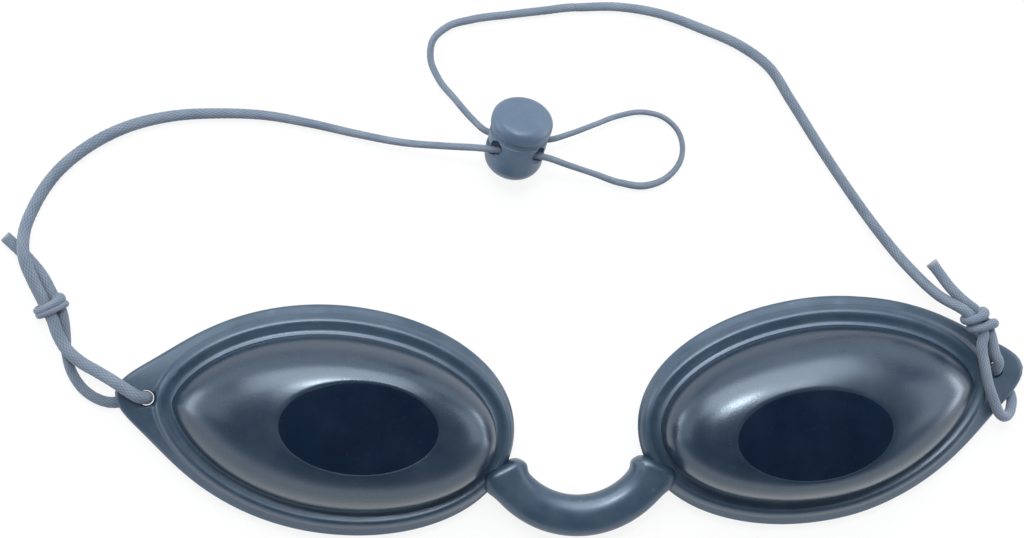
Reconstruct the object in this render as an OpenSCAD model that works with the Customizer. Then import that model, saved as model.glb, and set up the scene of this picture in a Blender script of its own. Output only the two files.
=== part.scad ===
/* [Cups] */
// Half length of a dome from its middle to its nose end
cup_nose_l = 24.4; // [20:0.1:30]
// Half length of a dome from its middle to its pointed temple end
cup_temple_l = 25.7; // [20:0.1:32]
// Half height of a dome's outline, brow to cheek
cup_half_h = 13.5; // [10:0.1:18]
// How pointed the temple end is: 2 is round, 1 is sharp
temple_point = 1.58; // [1.3:0.02:2]
// Height of a dome's rim edge round the window above the table
cup_top_z = 14.5; // [11:0.1:20]
// Thickness of a dome's wall
cup_wall = 1.3; // [0.8:0.1:2]
// Width of the lip that the soft frame grips
lip_w = 1; // [0.6:0.1:1.6]
// Thickness of that lip
lip_t = 1.2; // [0.8:0.1:2]

/* [Windows] */
// Half length of an oval window
window_half_l = 11.9; // [8:0.1:14]
// Half height of an oval window
window_half_h = 6.8; // [4:0.1:8]
// Thickness of a window at its edge
window_t = 1.5; // [1:0.1:2.5]
// Rise of a window's middle above its edge
window_crown = 0.5; // [0.2:0.1:1]
// How far a window sits towards the nose from its dome's middle
window_in = 2.6; // [0:0.1:5]
// How far a window sits below its dome's middle
window_down = 0.6; // [0:0.1:1.5]
// How far the left dome's front leans towards the cord lock, and the right one's away from it
cup_lean = 1.3; // [0:0.1:1.5]
// Angle that a window is turned back from its dome's long axis
window_turn = 4; // [0:0.5:10]
// Width of the ledge that carries a window
window_ledge = 1.2; // [0.6:0.1:2]

/* [Frame] */
// Distance from the nose line to a dome's middle
cup_x = 37.2; // [34:0.1:44]
// Distance from the middle of the whole height to a dome's middle
cup_y = 0.7; // [-3:0.1:3]
// Angle that each dome's temple end is turned up
cup_turn = 8.2; // [0:0.1:15]
// Width of the flange along brow and cheek
flange_w = 4.3; // [3.6:0.1:6]
// Width of the flange at the nose
flange_nose_w = 3.2; // [3:0.1:5]
// Length of the tab that runs out at the temple
tab_l = 8.8; // [7:0.1:14]
// How narrow the tab is
tab_taper = 7; // [5:1:12]
// Thickness of the flange
flange_t = 1.4; // [1:0.1:2]
// Height of the skin lip under the flange
skirt_h = 2.4; // [2.2:0.1:5]
// Height of the ridge round a dome above the flange
ridge_h = 1.2; // [0.8:0.1:2]
// Radius of the cord hole in a tab
cord_hole_r = 1.5; // [1.3:0.05:2]
// Distance from a tab's tip to its cord hole
cord_hole_in = 5.2; // [4.5:0.1:7]
// Distance of the cord hole above the dome's long axis
cord_hole_up = 0.8; // [0:0.1:1.5]

/* [Nose bridge] */
// Angle round a dome, from its temple end over the brow, where the bridge joins its frame
bridge_angle = 197; // [188:0.5:206]
// Width of the soft rod
rod_w = 7.1; // [5:0.1:9]
// Height of the soft rod
rod_h = 5.2; // [4:0.1:6]
// Height of the rod's middle above the table
rod_z = 3.6; // [3.2:0.1:5]
// Angle from the bottom of the curve to the rod's round end
rod_reach = 57.5; // [45:0.5:62]
// How far the rod's round end stands out beyond the rod
pad_swell = 0.2; // [0.1:0.05:0.5]
// Angle from the bottom of the curve to the end of the part that flexes
flex_reach = 12.5; // [8:0.5:20]

/* [Cord] */
// Diameter of the elastic cord where it hangs slack
cord_d = 1.9; // [1.5:0.05:2]
// Diameter of the cord at the right knot
cord_d_right = 1.7; // [1.2:0.05:2]
// Diameter of the cord above the nose, halfway between lock and right knot
cord_d_top = 1.3; // [1:0.05:1.8]
// Diameter of the cord where it is stretched through the lock
cord_d_lock = 1.05; // [0.9:0.05:1.5]
// Diameter of a tied knot
knot_d = 4.4; // [4:0.1:6]
// Length of a tied knot
knot_l = 3.2; // [2.5:0.1:5]

/* [Cord lock] */
// Diameter of the barrel
lock_d = 9.3; // [8.5:0.1:12]
// Height of the barrel
barrel_l = 8.7; // [7:0.1:10]
// Rounding of the barrel's closed end
barrel_round = 2.6; // [0.5:0.1:3]
// Thickness of the barrel's floor
barrel_floor = 1.1; // [0.6:0.1:1.5]
// Diameter of the plunger's stem
stem_d = 6.6; // [6.3:0.1:7]
// Travel of the button
button_travel = 1.2; // [0.8:0.1:1.4]
// Thickness of the button's head
head_t = 1.5; // [1.3:0.1:3]
// Height of the cord hole above the barrel's closed end
cord_hole_z = 5; // [4.4:0.1:5.4]
// Distance between the two strands in the lock
strand_gap = 4; // [3:0.1:4.2]
// Diameter of the spring's wire
wire_d = 0.35; // [0.25:0.05:0.4]
// Outer diameter of the spring
spring_d = 3.4; // [2.6:0.1:3.6]
// Number of turns of the spring
spring_turns = 2.5; // [2:0.5:2.5]
// Angle that the lock's axis leans up from the table
lock_lean = 42; // [30:1:60]
// Angle that the lock is turned from the straight-ahead line
lock_turn = 9; // [0:1:20]

/* [Hidden] */
$fn = 64;

frame_colour = "#26303f";
cup_colour = "#39424f";
window_colour = "#101a2b";
cord_colour = "#55607a";
lock_colour = "#4d5b70";
steel_colour = "#b8bcc2";

// Clearance between pieces that are pressed or snapped together
fit = 0.1;
// Clearance of a piece that slides
run = 0.1;
stations = 64;
wall_steps = 7;
wall_bend = 78;

// How far a cut reaches past the piece it cuts
past = 1;
groove_sole = 0.3;
lip_z = skirt_h + groove_sole;
lip_top = lip_z + lip_t;
flange_top = skirt_h + flange_t;
groove_floor = lip_z - fit;
groove_roof = lip_top + fit;
groove_back = lip_w + 2 * fit;
ridge_wall = 0.9;
ridge_w = groove_back + ridge_wall;
ridge_top = flange_top + ridge_h;
ridge_round = 0.3;
skirt_half = 0.6;
skirt_flare = 1;
tab_hole_u = cup_temple_l + tab_l - cord_hole_in;
edge_round = 0.45;
window_sunk = 0.2;
rim_w = 0.3;
rim_round = 0.15;
seat_z = cup_top_z - window_t - window_sunk;
ledge_t = 1.1;
ledge_z = seat_z - ledge_t;
cup_foot = 1;

function unit(v) = v / norm(v);
function mix(a, b, k) = a + (b - a) * k;
function flat(p, z) = [p[0], p[1], z];

// Outlines are closed curves about a dome's middle, with +X towards the temple
function oval(temple_l, nose_l, half_h, point, t) =
    let (c = cos(t), s = sin(t), power = 2 / (c > 0 ? point : 2))
    [(c > 0 ? temple_l : nose_l) * c, half_h * sign(s) * pow(abs(s), power)];
function dome_line(t) = oval(cup_temple_l, cup_nose_l, cup_half_h, temple_point, t);
function dome_out(t) =
    let (d = dome_line(t + 1) - dome_line(t - 1)) unit([d[1], -d[0]]);
function beside(t, n) = dome_line(t) + n * dome_out(t);
function flange_reach(t) =
    let (lean = dome_out(t)[0])
    flange_w + (lean > 0 ? (tab_l - flange_w) * pow(lean, tab_taper)
                         : (flange_nose_w - flange_w) * pow(lean, 2));
function window_line(t, n, side) =
    let (p = oval(window_half_l + n, window_half_l + n, window_half_h + n, 2, t + window_turn),
         c = cos(-window_turn), s = sin(-window_turn))
    [p[0] * c - p[1] * s - window_in, p[0] * s + p[1] * c - window_down - side * cup_lean];
function angles() = [for (i = [0:stations - 1]) i * 360 / stations];

// A wall that starts upright at the dome's edge and leans over to the window
function wall_ring(k, low, high, edge, rim, side) =
    let (a = wall_bend * k, over = (1 - cos(a)) / (1 - cos(wall_bend)))
    [for (t = angles())
        flat(mix(beside(t, edge), window_line(t, rim, side), over),
             mix(low, high, sin(a) / sin(wall_bend)))];
function dome_ring(n, z) = [for (t = angles()) flat(beside(t, n), z)];
function flange_ring(back, z) = [for (t = angles()) flat(beside(t, flange_reach(t) - back), z)];
function window_ring(n, z, side) = [for (t = angles()) flat(window_line(t, n, side), z)];

// Joins closed rings of points one after another; the last one joins the first
module hoop(rings) {
    n = len(rings[0]);
    m = len(rings);
    polyhedron(
        points = [for (ring = rings) each ring],
        faces = [for (j = [0:m - 1]) for (i = [0:n - 1])
            let (a = j * n + i, b = j * n + (i + 1) % n,
                 c = ((j + 1) % m) * n + (i + 1) % n, d = ((j + 1) % m) * n + i)
            each [[a, c, b], [a, d, c]]]
    );
}

// Joins rings of points and closes the first and the last with a face
module stack(rings) {
    n = len(rings[0]);
    m = len(rings);
    polyhedron(
        points = [for (ring = rings) each ring],
        faces = concat(
            [[for (i = [0:n - 1]) i]],
            [for (j = [0:m - 2]) for (i = [0:n - 1])
                let (a = j * n + i, b = j * n + (i + 1) % n,
                     c = (j + 1) * n + (i + 1) % n, d = (j + 1) * n + i)
                each [[a, c, b], [a, d, c]]],
            [[for (i = [n - 1:-1:0]) (m - 1) * n + i]])
    );
}

// Places what is drawn about a dome's middle: 1 is the side of +X, -1 its mirror image
module on_side(side) {
    mirror([side < 0 ? 1 : 0, 0, 0])
        translate([cup_x, cup_y, 0]) rotate([0, 0, cup_turn]) children();
}

// The frame's outside, filled in across the eye
module frame_outside() {
    stack([
        dome_ring(skirt_half, 0),
        dome_ring(skirt_half + 0.35 * skirt_flare, skirt_h / 6),
        dome_ring(skirt_half + 0.6 * skirt_flare, skirt_h * 5 / 6),
        dome_ring(skirt_half + skirt_flare, skirt_h),
        flange_ring(edge_round, skirt_h),
        flange_ring(0, skirt_h + edge_round),
        flange_ring(0, flange_top - edge_round),
        flange_ring(edge_round, flange_top),
        dome_ring(ridge_w + ridge_round, flange_top),
        dome_ring(ridge_w, flange_top + ridge_round),
        dome_ring(ridge_w - ridge_round, ridge_top - ridge_round),
        dome_ring(ridge_w - ridge_wall, ridge_top),
    ]);
}

// The eye's opening, the groove for a dome's lip and the room for its wall
module frame_opening() {
    stack([
        dome_ring(-skirt_half, -past),
        dome_ring(-skirt_half - 0.2 * edge_round, 0.2 * edge_round),
        dome_ring(-skirt_half - edge_round, edge_round),
        dome_ring(-cup_wall, groove_floor),
        dome_ring(groove_back, groove_floor),
        dome_ring(groove_back, groove_roof),
        dome_ring(fit, groove_roof),
        dome_ring(fit, ridge_top - 0.8),
        dome_ring(fit + ridge_round, ridge_top - ridge_round),
        dome_ring(fit + ridge_round, rod_z + rod_h / 2 + pad_swell + past),
    ]);
}

// The middle of the rod's round end lies beside the dome's edge, and the curve follows
function in_place(p) =
    [cup_x + p[0] * cos(cup_turn) - p[1] * sin(cup_turn),
     cup_y + p[0] * sin(cup_turn) + p[1] * cos(cup_turn)];
rod_end_at = in_place(beside(bridge_angle, rod_w / 2 + pad_swell));
bridge_r = rod_end_at[0] / sin(rod_reach);
bridge_y = rod_end_at[1] + bridge_r * cos(rod_reach);

module rod_section(swell = 0) {
    round_at = (rod_w - rod_h) / 2;
    for (x = [-round_at, round_at]) translate([x, 0]) circle(rod_h / 2 + swell);
    square([2 * round_at, rod_h + 2 * swell], center = true);
}

// Places what follows at an angle counted from the bottom of the bridge's curve
module on_bridge(angle) {
    translate([0, bridge_y, rod_z]) rotate([0, 0, angle - 90]) children();
}

module rod(from, to) {
    on_bridge(from) rotate_extrude(angle = to - from) translate([bridge_r, 0]) rod_section();
}

// The round pad that a rod's end spreads into, over the ridge
module rod_end() {
    on_bridge(rod_reach) translate([bridge_r, 0, 0]) rotate_extrude() intersection() {
        rod_section(pad_swell);
        translate([0, -rod_w]) square(2 * rod_w);
    }
}

module frame_half(side) {
    color(frame_colour) difference() {
        union() {
            on_side(side) frame_outside();
            mirror([side < 0 ? 1 : 0, 0, 0]) {
                rod(flex_reach, rod_reach);
                rod_end();
            }
        }
        on_side(side) {
            frame_opening();
            translate([tab_hole_u, cord_hole_up, 0])
                cylinder(r = cord_hole_r, h = 2 * flange_top);
        }
    }
}

module left_frame() { frame_half(-1); }
module right_frame() { frame_half(1); }

module bridge_middle() {
    color(frame_colour) rod(-flex_reach, flex_reach);
}

module cup(side) {
    step = 1 / wall_steps;
    color(cup_colour) on_side(side) hoop(concat(
        [dome_ring(lip_w, lip_z), dome_ring(lip_w, lip_top)],
        [for (k = [0:step:1.001]) wall_ring(k, lip_top, cup_top_z, 0, 2 * fit + rim_w, side)],
        [window_ring(fit, cup_top_z - rim_round, side), window_ring(fit, seat_z, side),
         window_ring(-window_ledge, seat_z, side)],
        [for (k = [1:-step:-0.001]) wall_ring(k, lip_z + cup_foot, ledge_z, -cup_wall, -window_ledge, side)],
        [dome_ring(-cup_wall, lip_z)]
    ));
}

module left_cup() { cup(-1); }
module right_cup() { cup(1); }

module window(side) {
    bevel = 0.2;
    top = seat_z + window_t;
    color(window_colour) on_side(side) stack([
        window_ring(-bevel, seat_z, side),
        window_ring(0, seat_z + bevel, side),
        window_ring(0, top - bevel, side),
        window_ring(-bevel, top, side),
        window_ring(-window_half_h * 0.35, top + window_crown * 0.55, side),
        window_ring(-window_half_h * 0.7, top + window_crown * 0.9, side),
        window_ring(-window_half_h * 0.97, top + window_crown, side),
    ]);
}

module left_window() { window(-1); }
module right_window() { window(1); }

// Cord: a tube swept along points, each ring square to the way the cord runs there
function run_way(points, first, last) =
    let (n = len(points) - 1)
    [for (i = [0:n]) i == 0 ? unit(first) : i == n ? unit(last)
        : unit(points[i + 1] - points[i - 1])];
function square_to(v, way) = unit(v - (v * way) * way);
function carried(ways, i, side) =
    i == len(ways) ? [] : let (s = square_to(side, ways[i])) concat([s], carried(ways, i + 1, s));
module cord(points, first, last, d_first, d_last, sides = 8) {
    ways = run_way(points, first, last);
    side = carried(ways, 0, square_to([0.1, 0.2, 1], ways[0]));
    n = len(points) - 1;
    stack([for (i = [0:n])
        let (up = cross(ways[i], side[i]), r = mix(d_first, d_last, i / n) / 2)
        [for (k = [0:sides - 1])
            let (a = 360 * (k + 0.5) / sides) points[i] + r * (cos(a) * side[i] + sin(a) * up)]]);
}

// The lock's own axes: X along the strands, Z from the closed end to the button
lock_clear = 0.1;
lock_at = [-10.44, 39.5, lock_clear + barrel_round * (1 - sin(lock_lean))
                         + (lock_d / 2 - barrel_round) * cos(lock_lean)];
function in_lock(p) =
    let (y = p[1] * sin(lock_lean) + p[2] * cos(lock_lean),
         z = p[2] * sin(lock_lean) - p[1] * cos(lock_lean),
         c = cos(lock_turn), s = sin(lock_turn))
    lock_at + [p[0] * c + y * s, y * c - p[0] * s, z];
strand_way = [cos(lock_turn), -sin(lock_turn), 0];
strand_out = 0.25;
strand_end = lock_d / 2 + strand_out;
function strand_point(x_side, y_side) =
    in_lock([x_side * strand_end, y_side * strand_gap / 2, cord_hole_z]);

// Knots: the middle, and the angle on the table of the way from ties to cord
left_knot_at = [-80.5, 19, 2.3];
left_knot_turn = 115;
right_knot_at = [63.1, 14.7, 6.1];
right_knot_turn = 128;
// In a knot the strand that runs to the lock lies partly above the other
strand_tilt = 42;
function knot_way(turn) = [cos(turn), sin(turn), 0];
strands_apart = 0.1;
function knot_point(at, turn, end, across, d) =
    at + end * knot_l / 2 * knot_way(turn)
    + across * (d + strands_apart) / 2
    * [cos(strand_tilt) * sin(turn), -cos(strand_tilt) * cos(turn), -sin(strand_tilt)];

// Where the cord lies, from hand-picked points
left_run_route = concat(
    [knot_point(left_knot_at, left_knot_turn, 1, -1, cord_d)],
    [
        [-83.15, 22.9, 3], [-84.55, 26.9, 3.05], [-84.5, 30.2, 2.3], [-82.95, 34.3, 1.2],
        [-79.8, 39, 1], [-75, 43.05, 1], [-69, 46.1, 1], [-62, 47.75, 1], [-55, 48.1, 1],
        [-48, 47.75, 1], [-41, 46.45, 1], [-34, 44.8, 1.2], [-27, 43.45, 2.6], [-20.6, 42.95, 5.25]
    ],
    [strand_point(-1, -1)]);
loop_route = concat(
    [strand_point(1, -1)],
    [
        [-2.2, 40, 6.1], [2.6, 38.35, 3.4], [7, 36.82, 1.2], [11, 36.3, 0.7],
        [14.5, 37.65, 0.7], [16.65, 40.6, 0.7], [16.42, 44.15, 0.7], [14.1, 46.75, 0.7],
        [10.55, 47.75, 0.7], [6.6, 47.2, 1.2], [2.9, 46, 2.6], [-1.1, 44.65, 3.7]
    ],
    [strand_point(1, 1)]);
top_run_route = concat(
    [strand_point(-1, 1)],
    [
        [-16.3, 46.9, 3.8], [-18.9, 50, 2.8], [-21.3, 53.1, 1.6], [-22.5, 56.5, 0.9],
        [-22.1, 59, 0.8], [-19.9, 61.05, 0.8], [-16, 62.2, 0.8], [-10.5, 62.9, 0.8],
        [-5, 63.5, 0.8]
    ],
    [[0, 64, 0.8]]);
right_run_route = concat(
    [[0, 64, 0.8]],
    [
        [6.5, 64.05, 0.85], [13.4, 62.92, 0.85], [19.9, 60.58, 0.85], [25.85, 58, 0.85],
        [30.35, 54.75, 0.85], [34.02, 49.32, 0.85], [38.52, 42.28, 0.85], [43.2, 35.37, 0.9],
        [47.72, 29.05, 1.5], [52.1, 23.5, 3], [56.55, 18.95, 5]
    ],
    [knot_point(right_knot_at, right_knot_turn, 1, -1, cord_d_right)]);
left_tail_route = concat(
    [knot_point(left_knot_at, left_knot_turn, 1, 1, cord_d)],
    [[-81.85, 23.45, 1.4], [-84.7, 27, 1], [-87.5, 29.8, 1]]);
right_tail_route = concat(
    [knot_point(right_knot_at, right_knot_turn, 1, 1, cord_d_right)],
    [[60.9, 17.75, 5.5], [58.45, 20.1, 5.5], [57, 22.1, 5.1], [55.65, 24, 4.6]]);

function in_hole(side, z) =
    let (p = in_place([tab_hole_u, cord_hole_up])) [side * p[0], p[1], z];
tab_mid = skirt_h + flange_t / 2;
left_tie_route = concat(
    [knot_point(left_knot_at, left_knot_turn, -1, -1, cord_d)],
    [
        [-79.85, 15.2, 3], [-78.4, 12.5, 3], [-76.45, 10.65, 3.05], [-73.9, 9.2, 3.7],
        [-71.2, 7.87, 4.8], [-68.6, 6.82, 4.95], [-67, 6.2, 4.75]
    ],
    [in_hole(-1, tab_mid + 0.7), in_hole(-1, tab_mid - 0.8)],
    [
        [-67.1, 5.4, 1.3], [-69.4, 4.4, 1], [-72.6, 4.1, 1], [-75.5, 5.55, 1],
        [-77.75, 8.6, 1], [-78.55, 11.6, 1], [-78.7, 14.6, 1.2]
    ],
    [knot_point(left_knot_at, left_knot_turn, -1, 1, cord_d)]);
right_tie_route = concat(
    [knot_point(right_knot_at, right_knot_turn, -1, 1, cord_d_right)],
    [[65.4, 11.6, 5.4], [66, 9.3, 5.2], [66.35, 7.4, 4.95]],
    [in_hole(1, tab_mid + 0.8), in_hole(1, tab_mid - 0.9)],
    [
        [67.4, 4.8, 1.15], [69, 3.4, 1], [70, 1.7, 1.3], [69.75, 0.15, 2],
        [68.9, -0.8, 3.1], [67.95, -1, 4.3], [66.95, -0.2, 4.85], [65.95, 1.75, 5.15],
        [64.75, 4.6, 5.85], [63.95, 7.9, 6.2], [63.4, 10.9, 6.5]
    ],
    [knot_point(right_knot_at, right_knot_turn, -1, -1, cord_d_right)]);

module left_cord_run() {
    color(cord_colour) cord(left_run_route, knot_way(left_knot_turn), strand_way,
                            cord_d, cord_d_lock);
}
module cord_loop() {
    color(cord_colour) cord(loop_route, strand_way, -strand_way, cord_d_lock, cord_d_lock);
}
module top_cord_run() {
    color(cord_colour) cord(top_run_route, -strand_way, [1, 0, 0], cord_d_lock, cord_d_top);
}
module right_cord_run() {
    color(cord_colour) cord(right_run_route, [1, 0, 0], -knot_way(right_knot_turn),
                            cord_d_top, cord_d_right);
}
module left_tail() {
    color(cord_colour) cord(left_tail_route, knot_way(left_knot_turn), [-1, 1, 0],
                            cord_d, cord_d);
}
module right_tail() {
    color(cord_colour) cord(right_tail_route, knot_way(right_knot_turn), [-0.6, 0.8, -0.2],
                            cord_d_right, cord_d_right);
}
module left_tie_loop() {
    color(cord_colour) cord(left_tie_route, -knot_way(left_knot_turn), knot_way(left_knot_turn),
                            cord_d, cord_d);
}
module right_tie_loop() {
    color(cord_colour) cord(right_tie_route, -knot_way(right_knot_turn),
                            knot_way(right_knot_turn), cord_d_right, cord_d_right);
}

module knot(at, turn) {
    r = knot_d / 2;
    half = knot_l / 2;
    bevel = 0.3;
    color(cord_colour) translate(at) rotate([0, 0, turn]) rotate([0, 90, 0])
        rotate_extrude() polygon([
            [0, -half], [r - bevel, -half], [r, bevel - half],
            [r, half - bevel], [r - bevel, half], [0, half]
        ]);
}
module left_knot() { knot(left_knot_at, left_knot_turn); }
module right_knot() { knot(right_knot_at, right_knot_turn); }

module on_lock() {
    translate(lock_at) rotate([0, 0, -lock_turn]) rotate([lock_lean - 90, 0, 0]) children();
}

// A hole along X for both strands, wide along Y
module cross_slot(low, high) {
    r = strand_room / 2;
    reach = slot_w / 2 - r;
    overlap = 0.01;
    rotate([90, 0, 90]) translate([0, 0, -lock_d]) linear_extrude(2 * lock_d) {
        for (x = [-reach, reach], y = [low + r, high - r]) translate([x, y]) circle(r);
        translate([-reach, low]) square([2 * reach, high - low]);
        for (x = [-reach, reach])
            translate([x - r, low + r - overlap])
                square([2 * r, high - low - 2 * r + 2 * overlap]);
    }
}

strand_room = cord_d_lock + 4 * run;
strand_low = cord_hole_z - strand_room / 2;
strand_high = cord_hole_z + strand_room / 2;
slot_w = strand_gap + strand_room;
bore_d = stem_d + 2 * run;
collar_d = (lock_d + bore_d) / 2;
collar_l = 0.2;
head_gap = 0.15;
head_z = barrel_l + button_travel + head_gap;
stem_gap = 0.3;
stem_z = barrel_floor + button_travel + stem_gap;
spring_pocket = 0.8;
spring_z = barrel_floor;
spring_top = stem_z + spring_pocket;

module lock_barrel() {
    color(lock_colour) on_lock() difference() {
        rotate_extrude() {
            translate([0, barrel_round]) square([lock_d / 2, barrel_l - barrel_round]);
            square([lock_d / 2 - barrel_round, barrel_round]);
            intersection() {
                translate([lock_d / 2 - barrel_round, barrel_round]) circle(barrel_round);
                square([lock_d / 2, barrel_l]);
            }
        }
        translate([0, 0, barrel_floor]) cylinder(d = bore_d, h = barrel_l);
        translate([0, 0, barrel_l - button_travel - collar_l - run])
            cylinder(d = collar_d + 2 * run, h = barrel_l);
        cross_slot(strand_low, strand_high);
    }
}

module lock_plunger() {
    head_round = 0.7 * head_t;
    color(lock_colour) on_lock() difference() {
        rotate_extrude() {
            translate([0, stem_z]) square([stem_d / 2, head_z - stem_z]);
            translate([0, barrel_l - collar_l])
                square([collar_d / 2, head_z - barrel_l + collar_l]);
            translate([0, head_z]) square([lock_d / 2, head_t - head_round]);
            translate([0, head_z]) square([lock_d / 2 - head_round, head_t]);
            translate([lock_d / 2 - head_round, head_z + head_t - head_round])
                circle(head_round);
        }
        cross_slot(strand_low, strand_high + button_travel);
        translate([0, 0, stem_z - past])
            cylinder(d = spring_d + 2 * run, h = past + spring_pocket);
    }
}

module lock_spring() {
    turn_steps = 8;
    coil_r = (spring_d - wire_d) / 2;
    low = spring_z + wire_d / 2;
    high = spring_top - wire_d / 2;
    steps = spring_turns * turn_steps;
    points = [for (i = [0:steps])
        let (a = 360 * i / turn_steps) [coil_r * cos(a), coil_r * sin(a), mix(low, high, i / steps)]];
    echo(spring_gap = (high - low) / spring_turns - wire_d);
    color(steel_colour) on_lock() cord(points, [0, 1, 0], [0, -1, 0], wire_d, wire_d, 6);
}

module cord_in_lock() {
    color(cord_colour) on_lock() for (side = [-1, 1])
        translate([-strand_end, side * strand_gap / 2, cord_hole_z]) rotate([0, 90, 0])
            cylinder(d = cord_d_lock, h = 2 * strand_end);
}

left_frame();
right_frame();
bridge_middle();
left_cup();
right_cup();
left_window();
right_window();
left_tie_loop();
left_knot();
left_tail();
left_cord_run();
cord_loop();
top_cord_run();
right_cord_run();
right_knot();
right_tail();
right_tie_loop();
cord_in_lock();
lock_barrel();
lock_plunger();
lock_spring();
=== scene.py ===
import math

import bmesh
import bpy
from mathutils import Matrix, Vector


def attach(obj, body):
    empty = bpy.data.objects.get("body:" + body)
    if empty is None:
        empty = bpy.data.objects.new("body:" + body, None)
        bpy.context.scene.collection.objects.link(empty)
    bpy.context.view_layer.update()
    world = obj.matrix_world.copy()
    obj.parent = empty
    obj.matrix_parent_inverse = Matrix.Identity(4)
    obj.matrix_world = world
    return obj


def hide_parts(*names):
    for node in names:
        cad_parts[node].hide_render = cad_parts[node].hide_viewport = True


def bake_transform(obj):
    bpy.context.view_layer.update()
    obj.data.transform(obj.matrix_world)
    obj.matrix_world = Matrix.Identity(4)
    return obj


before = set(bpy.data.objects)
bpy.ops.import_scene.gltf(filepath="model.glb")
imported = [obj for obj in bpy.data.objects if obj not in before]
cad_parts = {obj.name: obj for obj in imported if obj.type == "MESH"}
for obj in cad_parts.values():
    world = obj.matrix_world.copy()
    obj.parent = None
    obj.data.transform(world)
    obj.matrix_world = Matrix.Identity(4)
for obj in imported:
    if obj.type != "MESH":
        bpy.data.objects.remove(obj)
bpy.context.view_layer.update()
scene = bpy.context.scene
scene.view_settings.view_transform = "Standard"
mm = 0.001  # shapes below are in millimetres and degrees

# the photograph's view: what it is aimed at, and how far it leans from straight above
shot = {
    "target": (-10.06, 23.6, 1.0),
    "leanSide": -6.5,
    "leanBack": 5.0,
    "roll": 0.3,
    "distance": 400,
    "lens": 90.56,
    "sensor": 36,
}


def addCamera():
    back = Vector((math.tan(math.radians(shot["leanSide"])),
                   math.tan(math.radians(shot["leanBack"])), 1)).normalized()
    right = Vector((0, 1, 0)).cross(back).normalized()
    up = back.cross(right)
    c, s = math.cos(math.radians(shot["roll"])), math.sin(math.radians(shot["roll"]))
    right, up = c * right - s * up, s * right + c * up
    camera = bpy.data.objects.new("camera", bpy.data.cameras.new("camera"))
    camera.data.sensor_width = shot["sensor"]
    camera.data.lens = shot["lens"]
    camera.matrix_world = Matrix.Translation(
        (Vector(shot["target"]) + back * shot["distance"]) * mm
    ) @ Matrix((right, up, back)).transposed().to_4x4()
    scene.collection.objects.link(camera)
    scene.camera = camera


addCamera()
print("camera set")


def feed(tree, node, inputs):
    for name, value in inputs.items():
        if isinstance(value, bpy.types.NodeSocket):
            tree.links.new(value, node.inputs[name])
        else:
            node.inputs[name].default_value = value
    return node


def addNode(tree, kind, inputs=None, **settings):
    node = tree.nodes.new("ShaderNode" + kind)
    for name, value in settings.items():
        setattr(node, name, value)
    return feed(tree, node, inputs or {})


def math2(tree, operation, a, b=0.5):
    return addNode(tree, "Math", {0: a, 1: b}, operation=operation).outputs[0]


def mixColour(tree, amount, a, b):
    node = addNode(tree, "Mix", {0: amount, 6: a, 7: b}, data_type="RGBA")
    return node.outputs[2]


def mapped(tree, value, fromLow, fromHigh, toLow=0.0, toHigh=1.0):
    return addNode(tree, "MapRange", {
        "Value": value, "From Min": fromLow, "From Max": fromHigh,
        "To Min": toLow, "To Max": toHigh}).outputs[0]


def newGroup(name, takes, gives):
    tree = bpy.data.node_groups.new(name, "ShaderNodeTree")
    for label, kind, value in takes:
        socket = tree.interface.new_socket(name=label, in_out="INPUT",
                                           socket_type="NodeSocket" + kind)
        if value is not None:
            socket.default_value = value
    for label in gives:
        tree.interface.new_socket(name=label, in_out="OUTPUT", socket_type="NodeSocketFloat")
    return tree, tree.nodes.new("NodeGroupInput"), tree.nodes.new("NodeGroupOutput")


def placeGroup(tree, group, inputs):
    node = tree.nodes.new("ShaderNodeGroup")
    node.node_tree = group
    return feed(tree, node, inputs)


# scales are for Object coordinates in metres
grain = {"broadShare": 0.05, "speckShare": 0.5, "mottleRange": (0.3, 0.7),
         "speckRange": (0.66, 0.72)}
rubbing = {"patchScale": 700.0, "patchRange": (0.35, 0.6), "least": 0.35}
dusting = {"filmScale": 180.0, "grainScale": 6500.0, "upward": (0.3, 0.95),
           "filmRange": (0.4, 0.75), "filmMost": 0.5, "grainRange": (0.68, 0.76)}
braiding = {"plies": 6.0, "fibreRun": 1.5, "toneRun": 0.12, "toneScale": 2.0}


def buildMouldGrain():
    tree, takes, gives = newGroup(
        "mouldGrain",
        [("Place", "Vector", None), ("Scale", "Float", 5000.0)],
        ["Height", "Mottle", "Speck"])
    place = takes.outputs["Place"]
    fine = addNode(tree, "TexNoise", {
        "Vector": place, "Scale": takes.outputs["Scale"], "Detail": 3.0, "Roughness": 0.6})
    broadScale = math2(tree, "MULTIPLY", takes.outputs["Scale"], grain["broadShare"])
    broad = addNode(tree, "TexNoise", {
        "Vector": place, "Scale": broadScale, "Detail": 4.0, "Roughness": 0.55})
    speckScale = math2(tree, "MULTIPLY", takes.outputs["Scale"], grain["speckShare"])
    specks = addNode(tree, "TexNoise", {
        "Vector": place, "Scale": speckScale, "Detail": 1.0, "Roughness": 0.5})
    tree.links.new(fine.outputs["Fac"], gives.inputs["Height"])
    tree.links.new(mapped(tree, broad.outputs["Fac"], *grain["mottleRange"]),
                   gives.inputs["Mottle"])
    tree.links.new(mapped(tree, specks.outputs["Fac"], *grain["speckRange"]),
                   gives.inputs["Speck"])
    return tree


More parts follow.
